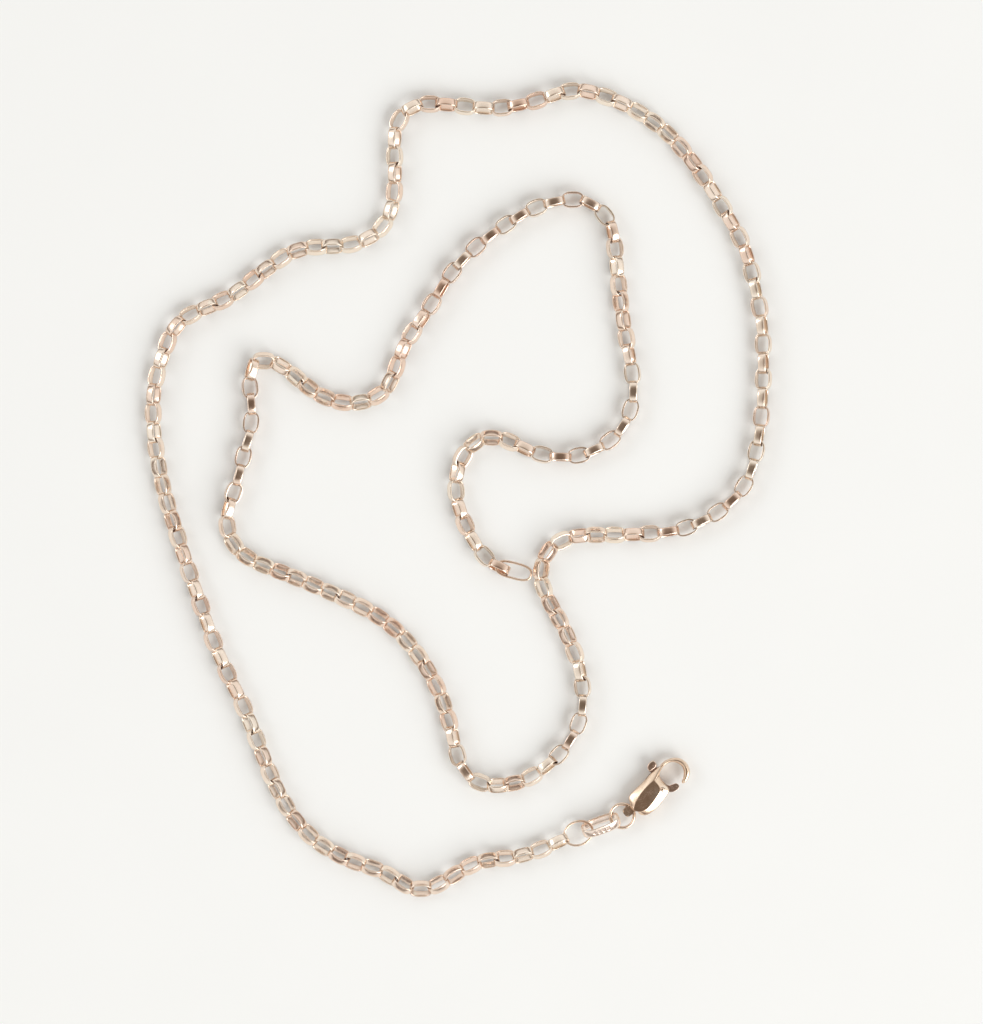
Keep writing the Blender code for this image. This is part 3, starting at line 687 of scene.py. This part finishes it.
def stamp_depth(x, z):
    """How deep the punch marks are at a point of the band's face.

    reach grows to 1 at a mark's outline; relief is small on the figure raised in it.
    """
    deepest = 0.0
    for centre, kind in STAMPS:
        a, b = (x - centre) / STAMP_HALF, z / (STAMP_HALF * STAMP_ASPECT)
        if kind == "lozenge":
            reach, relief = abs(a) + abs(b), abs(a) + abs(b)
        elif kind == "oval":
            reach, relief = math.hypot(a, b), abs(math.hypot(a, b) - 0.5)
        elif kind == "shield":
            reach = max(abs(a) + max(-b, 0.0) * 0.5, abs(b))
            relief = abs(a * 0.9) + abs(b - 0.15) * 0.7
        else:
            reach, relief = max(abs(a), abs(b)), abs((a * 1.5) % 1.0 - 0.5) * 1.6
        sunk = STAMP_DEPTH * (1 - smooth_step(*STAMP_EDGE, reach))
        raised = 1 - smooth_step(*RELIEF_EDGE, relief)
        deepest = max(deepest, sunk * (1 - RELIEF_SHARE * raised))
    return deepest


def hallmark_link():
    """Long wide band between the two rings, with punch marks in its straight sides."""
    half_length, half_width = TAG_LENGTH / 2, TAG_WIDTH / 2
    across = [2 * k / (TAG_ACROSS - 1) - 1 for k in range(TAG_ACROSS)]
    section = [(1.0 - TAG_CORNER_FALL * v ** 6 - TAG_CROWN * v * v, v * TAG_OUTER_REACH)
               for v in across]
    section += [(wall, 1.0) for wall in TAG_EDGE]
    middle, rise = TAG_INNER_HOLLOW
    section += [(middle + rise * v * v, v * TAG_INNER_REACH) for v in (1.0, 0.5, 0.0, -0.5, -1.0)]
    section += [(wall, -1.0) for wall in TAG_EDGE[::-1]]
    place = placed(Vector((*TAG_CENTRE, MID_HEIGHT + TAG_LIFT)), TAG_HEADING, TAG_ROLL)
    stations, depths = [], []
    for angle in even_angles(half_length, half_width, TAG_POWER, TAG_STATIONS):
        outer = superellipse(half_length, half_width, TAG_POWER, angle)
        inner = superellipse(half_length - TAG_WALL, half_width - TAG_WALL, TAG_POWER, angle)
        station = []
        for u, v in section:
            z = v * TAG_DEPTH / 2
            spot = inner.lerp(outer, u)
            depth = stamp_depth(spot.x, z) if u > STAMPED_FACE else 0.0
            spot.y -= math.copysign(depth, spot.y)
            station.append(place @ Vector((spot.x, spot.y, z)))
            depths.append(depth / STAMP_DEPTH)
        stations.append(station)
    bm = bmesh.new()
    sunk = bm.verts.layers.float.new("sunk")
    loops, _ = sweep(bm, stations)
    for vert, depth in zip((vert for loop in loops for vert in loop), depths):
        vert[sunk] = depth
    piece("hallmark_band", mesh_of(bm), TAG_LOOK, "hallmark_link", "hallmark_link")


# ----------------------------------------------------------------- the clasp

# The body's outline, each point with the point of the flat top facet that it rises to.
BODY_OUTLINE = (
    ((0.0, -0.5), (0.12, -0.4)), ((0.34, -0.62), (0.34, -0.62)), ((0.32, -1.1), (0.55, -0.85)),
    ((0.52, -1.46), (0.82, -1.0)), ((0.95, -1.76), (1.15, -1.1)), ((1.55, -1.88), (1.65, -1.12)),
    ((2.5, -1.86), (2.6, -0.9)), ((3.7, -1.6), (3.5, -0.62)), ((4.75, -1.3), (4.0, -0.4)),
    ((5.1, -0.95), (4.2, -0.12)), ((5.0, 0.1), (4.3, 0.25)), ((5.1, 0.9), (4.27, 0.6)),
    ((5.4, 1.28), (4.2, 0.78)), ((6.15, 1.62), (4.08, 0.9)), ((6.1, 1.88), (3.9, 0.97)),
    ((4.6, 1.9), (3.3, 0.96)), ((3.2, 1.63), (2.6, 0.88)), ((1.8, 1.55), (1.7, 0.62)),
    ((0.9, 1.44), (1.05, 0.32)), ((0.42, 1.16), (0.62, 0.1)), ((0.34, 0.62), (0.34, -0.06)),
    ((0.0, 0.5), (0.12, -0.2)),
)
BODY_TOP = MID_HEIGHT - 0.02      # half the body's thickness at its flat facet
BODY_RIM = 0.6                    # and at its outline
# The slope from the facet to the rim: (share of the way out, share of the rise left).
BODY_PROFILE = ((0.0, 1.0), (0.06, 0.985), (0.14, 0.93), (0.9, 0.13), (0.97, 0.03), (1.0, -0.1))
LUG_OUTLINE = ((-1.13, -0.36), (-0.9, -0.57), (0.75, -0.57), (0.75, 0.57), (-0.9, 0.57),
               (-1.13, 0.36))
LUG_HALF = 0.58
LUG_SOFTEN = 0.16
EYE_CENTRE = Vector((-0.2, 0.0, 0.0))
EYE_SEMI = (0.56, 0.36)           # along the clasp, and up
HOOK_CENTRE = Vector((6.55, 0.15, 0.0))
HOOK_SEMI = (1.78, 1.62)
HOOK_ANGLES = (math.radians(124.0), math.radians(-84.0))
# Width and thickness of the hook at even steps from the body to its tip.
HOOK_WIDTHS = (0.4, 0.46, 0.68, 0.78, 0.5)
HOOK_THICKS = (1.3, 1.3, 1.25, 1.0, 0.7)
HOOK_STATIONS = 48
HOOK_SIDES = 24
HOOK_POWER = 2.4                  # how square its section is
HOOK_TIP = 0.07                   # share of the hook's length that its round end takes
HOOK_TIP_LEAST = 0.02             # keeps the last section from shrinking to a point
SLOT_HALF = 0.42
SLOT_OUTLINE = ((3.55, -2.6), (5.6, -2.6), (5.6, 0.6), (5.72, 2.6), (3.62, 2.6), (3.45, 0.6))
PIVOT = Vector((4.4, -0.5, 0.0))
PIN_RADIUS = 0.27
PIN_CLEAR = 0.025
# The rivet's end: (radius, height above the end of its shank), from the shank inwards.
RIVET_DOME = ((PIN_RADIUS, -0.04), (0.25, 0.0), (0.2, 0.03), (0.1, 0.06), (0.0, 0.07))
RIVET_SHY = 0.1                   # how far the shank ends below the body's facet
LEVER_HALF = 0.35
LEVER_SOFTEN = 0.05
LEVER_OUTLINE = (
    (3.95, -0.75), (4.25, -1.02), (4.8, -1.12), (5.05, -1.56), (5.75, -1.72), (6.2, -1.6),
    (6.32, -1.25), (6.1, -0.92), (5.4, -0.86), (5.08, -0.5), (4.98, 0.4), (5.35, 1.75),
    (5.5, 2.1), (5.82, 2.35), (5.8, 2.96), (5.0, 3.0), (4.62, 2.72), (4.5, 2.12),
    (4.72, 1.85), (4.3, 0.35), (3.95, -0.2),
)
KNOB_OUTLINE = ((4.46, 2.1), (5.45, 2.06), (5.82, 2.35), (5.8, 2.97), (5.0, 3.0), (4.58, 2.7))
KNOB_HALF = 0.52
KNOB_SOFTEN = 0.11
# Bends sharper than this, in degrees, stay crisp.
BODY_SHARP = 32
LEVER_SHARP = 28
SPRING_CENTRE = Vector((3.83, 0.78, 0.0))
SPRING_RADIUS = 0.26
SPRING_WALL = 0.1
SPRING_HALF = 0.3
SPRING_START = -150               # degrees
SPRING_TURN = 300
SPRING_STEPS = 40
SPRING_SIDES = 12
SPRING_POWER = 4.0                # how square the strip's section is
DRILL = 3.0                       # half length of a drill that goes right through

EYE = CLASP_RING_CENTRE + CLASP_RING_RADIUS * Vector((math.cos(CLASP_HEADING),
                                                     math.sin(CLASP_HEADING)))
CLASP_FRAME = placed(Vector((*EYE, MID_HEIGHT)), CLASP_HEADING)


def flat(points):
    """Vectors from plain pairs."""
    return [Vector(point) for point in points]


def eased(table, t):
    """Value of an evenly spaced table at t from 0 to 1, without corners."""
    place = t * (len(table) - 1)
    k = min(int(place), len(table) - 2)
    return table[k] + (table[k + 1] - table[k]) * smooth_step(0.0, 1.0, place - k)


def hook():
    """The clasp's bow: swept round an ellipse, full at its bend and fine at its tip."""
    first, last = HOOK_ANGLES
    stations = []
    for step in range(HOOK_STATIONS + 1):
        t = step / HOOK_STATIONS
        angle = first + (last - first) * t
        from_tip = min((1 - t) / HOOK_TIP, 1.0)
        end = math.sqrt(max(1 - (1 - from_tip) ** 2, HOOK_TIP_LEAST))
        width, thick = eased(HOOK_WIDTHS, t) / 2 * end, eased(HOOK_THICKS, t) / 2 * end
        outward = Vector((math.cos(angle), math.sin(angle), 0.0))
        centre = HOOK_CENTRE + Vector((HOOK_SEMI[0] * outward.x, HOOK_SEMI[1] * outward.y, 0))
        station = []
        for side in range(HOOK_SIDES):
            section = superellipse(width, thick, HOOK_POWER, math.tau * side / HOOK_SIDES)
            station.append(centre + outward * section.x + Vector((0, 0, section.y)))
        stations.append(station)
    bm = bmesh.new()
    sweep(bm, stations, closed=False)
    return solid(bm)


def clasp_body():
    """Shield-shaped body with a flat facet, its hook and its eye, slotted for the lever."""
    rim = round_corners(flat([edge for edge, _ in BODY_OUTLINE]), 1)
    facet = round_corners(flat([top for _, top in BODY_OUTLINE]), 1)
    upper = [([top.lerp(edge, share) for top, edge in zip(facet, rim)],
              BODY_RIM + (BODY_TOP - BODY_RIM) * rise) for share, rise in BODY_PROFILE]
    lower = [(outline, -z) for outline, z in upper]
    body = stacked(lower + upper[::-1])
    boolean(body, hook(), "UNION")
    lug = round_corners(flat(LUG_OUTLINE), 2)
    boolean(body, prism(lug, LUG_HALF, soften=LUG_SOFTEN, segments=4), "UNION")
    stretch = Matrix.Diagonal((EYE_SEMI[0], 1.0, EYE_SEMI[1], 1.0))
    across = Matrix.Translation(EYE_CENTRE) @ stretch @ Matrix.Rotation(math.radians(90), 4, "X")
    boolean(body, rod(1.0, DRILL, across), "DIFFERENCE")
    boolean(body, prism(flat(SLOT_OUTLINE), SLOT_HALF), "DIFFERENCE")
    bore = Matrix.Translation(PIVOT)
    boolean(body, rod(PIN_RADIUS + PIN_CLEAR, DRILL, bore), "DIFFERENCE")
    mesh = take_mesh(body)
    mesh.transform(CLASP_FRAME)
    piece("clasp_shell", mesh, CLASP_LOOK, "clasp", "clasp_body", sharp=BODY_SHARP)


def clasp_lever():
    """Gate finger, arm and thumb knob in one lever."""
    arm, pad = (round_corners(flat(outline), 1) for outline in (LEVER_OUTLINE, KNOB_OUTLINE))
    lever = prism(arm, LEVER_HALF, soften=LEVER_SOFTEN, segments=2)
    knob = prism(pad, KNOB_HALF, soften=KNOB_SOFTEN, segments=4)
    boolean(lever, knob, "UNION")
    boolean(lever, rod(PIN_RADIUS + PIN_CLEAR, DRILL, Matrix.Translation(PIVOT)), "DIFFERENCE")
    mesh = take_mesh(lever)
    mesh.transform(CLASP_FRAME)
    piece("lever_gate", mesh, LEVER_LOOK, "lever", "clasp_lever",
          sharp=LEVER_SHARP)


def clasp_rivet():
    """Pin with shallow domed ends, filed nearly flush."""
    half = BODY_TOP - RIVET_SHY
    upper = [(radius, half + rise) for radius, rise in RIVET_DOME]
    lower = [(radius, -z) for radius, z in upper[::-1]]
    mesh = mesh_of(turned(lower + upper, CLASP_FRAME @ Matrix.Translation(PIVOT)))
    piece("rivet_pin", mesh, RIVET_LOOK, "clasp", "clasp_rivet")


def clasp_spring():
    """Open C of flat strip that the lever's arm squeezes against the body."""
    stations = []
    radius = SPRING_RADIUS - SPRING_WALL / 2
    for step in range(SPRING_STEPS + 1):
        angle = math.radians(SPRING_START + SPRING_TURN * step / SPRING_STEPS)
        outward = Vector((math.cos(angle), math.sin(angle), 0.0))
        station = []
        for side in range(SPRING_SIDES):
            section = superellipse(SPRING_WALL / 2, SPRING_HALF, SPRING_POWER,
                                   math.tau * side / SPRING_SIDES)
            spot = SPRING_CENTRE + outward * (radius + section.x) + Vector((0, 0, section.y))
            station.append(CLASP_FRAME @ spot)
        stations.append(station)
    bm = bmesh.new()
    sweep(bm, stations, closed=False)
    coil = piece("spring_coil", mesh_of(bm), STEEL_LOOK, "clasp", "clasp_spring")
    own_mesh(coil)


# ----------------------------------------------------------- floor and light

TABLE_HALF = 2.5                  # metres
TABLE_DROP = 0.00001              # the table top lies this far below the chain
TABLE_DARK = (0.900, 0.915, 0.910)
TABLE_BRIGHT = (0.920, 0.935, 0.930)

# Colours of the surroundings: (height of the direction, from 0 level to 1 overhead; colour).
SKY_STOPS = (
    (0.0, (0.12, 0.08, 0.06)), (0.15, (0.20, 0.15, 0.12)), (0.26, (0.82, 0.81, 0.79)),
    (0.5, (0.97, 0.98, 0.975)), (0.78, (0.73, 0.71, 0.68)), (0.88, (0.42, 0.365, 0.32)),
    (0.95, (0.19, 0.15, 0.12)), (1.0, (0.15, 0.115, 0.09)),
)
SKY_STRENGTH = 1.02

CAMERA_HEIGHT = 0.5               # metres
VIEW_CENTRE = (4.05, -2.75, 0.0)
HALF_VIEW = 62.47                 # half of the picture's longer side, on the table


def floor():
    """Matt white table top with a faint cloudiness."""
    bm = bmesh.new()
    bm.faces.new([bm.verts.new((x * TABLE_HALF, y * TABLE_HALF, 0.0))
                  for x, y in ((-1, -1), (1, -1), (1, 1), (-1, 1))])
    mesh = bpy.data.meshes.new("table_top")
    bm.to_mesh(mesh)
    bm.free()
    top = bpy.data.objects.new("table_top", mesh)
    top.location.z = -TABLE_DROP
    bpy.context.scene.collection.objects.link(top)
    material = bpy.data.materials.new("matt_white")
    n = Nodes(material)
    place = n.add("ShaderNodeTexCoord").outputs["Object"]
    n.link(n.mix(n.noise(place, 60.0, 4.0), TABLE_DARK, TABLE_BRIGHT), "Base Color")
    n.shader.inputs["Roughness"].default_value = 0.75
    n.shader.inputs["Specular IOR Level"].default_value = 0.2
    mesh.materials.append(material)


def softbox(name, direction, distance, size, watts, colour):
    """Square area light that faces the middle of the layout."""
    light = bpy.data.lights.new(name, "AREA")
    light.energy = watts
    light.size = size
    light.color = colour
    lamp = bpy.data.objects.new(name, light)
    lamp.location = Vector(direction).normalized() * distance
    lamp.rotation_euler = lamp.location.to_track_quat("Z", "Y").to_euler()
    bpy.context.scene.collection.objects.link(lamp)


def studio():
    """Pale surroundings, dark overhead and near the horizon, and two soft lamps: a large
    key from the front right and a weak fill opposite."""
    world = bpy.data.worlds.new("studio")
    bpy.context.scene.world = world
    world.use_nodes = True
    tree = world.node_tree
    sky = tree.nodes["Background"]
    where = tree.nodes.new("ShaderNodeTexCoord")
    split = tree.nodes.new("ShaderNodeSeparateXYZ")
    ramp = tree.nodes.new("ShaderNodeValToRGB")
    tree.links.new(where.outputs["Generated"], split.inputs["Vector"])
    tree.links.new(split.outputs["Z"], ramp.inputs["Fac"])
    tree.links.new(ramp.outputs["Color"], sky.inputs["Color"])
    points = ramp.color_ramp.elements
    for position, _ in SKY_STOPS[1:-1]:
        points.new(position)
    for point, (_, colour) in zip(points, SKY_STOPS):
        point.color = (*colour, 1.0)
    sky.inputs["Strength"].default_value = SKY_STRENGTH
    softbox("key", direction=(0.75, -0.6, 0.75), distance=2.0, size=1.5, watts=24.0,
            colour=(1.0, 0.995, 0.985))
    softbox("fill", direction=(-0.8, 0.35, 0.6), distance=2.0, size=0.7, watts=3.5,
            colour=(1.0, 1.0, 1.0))


def camera():
    """Looks straight down on the layout."""
    lens = bpy.data.cameras.new("overhead")
    lens.sensor_width = 36.0
    lens.lens = lens.sensor_width / 2 * CAMERA_HEIGHT / (HALF_VIEW * MM)
    lens.clip_start = 0.01
    lens.clip_end = 20.0
    eye = bpy.data.objects.new("overhead", lens)
    eye.location = Vector(VIEW_CENTRE) * MM + Vector((0, 0, CAMERA_HEIGHT))
    bpy.context.scene.collection.objects.link(eye)
    bpy.context.scene.camera = eye
    bpy.context.scene.view_settings.view_transform = "Standard"


CONTACTS, BREAKS = chain_layout()
floor()
studio()
camera()
chain_runs(CONTACTS, BREAKS)
rings(CONTACTS)
hallmark_link()
clasp_body()
clasp_lever()
clasp_rivet()
clasp_spring()

bpy.context.view_layer.update()
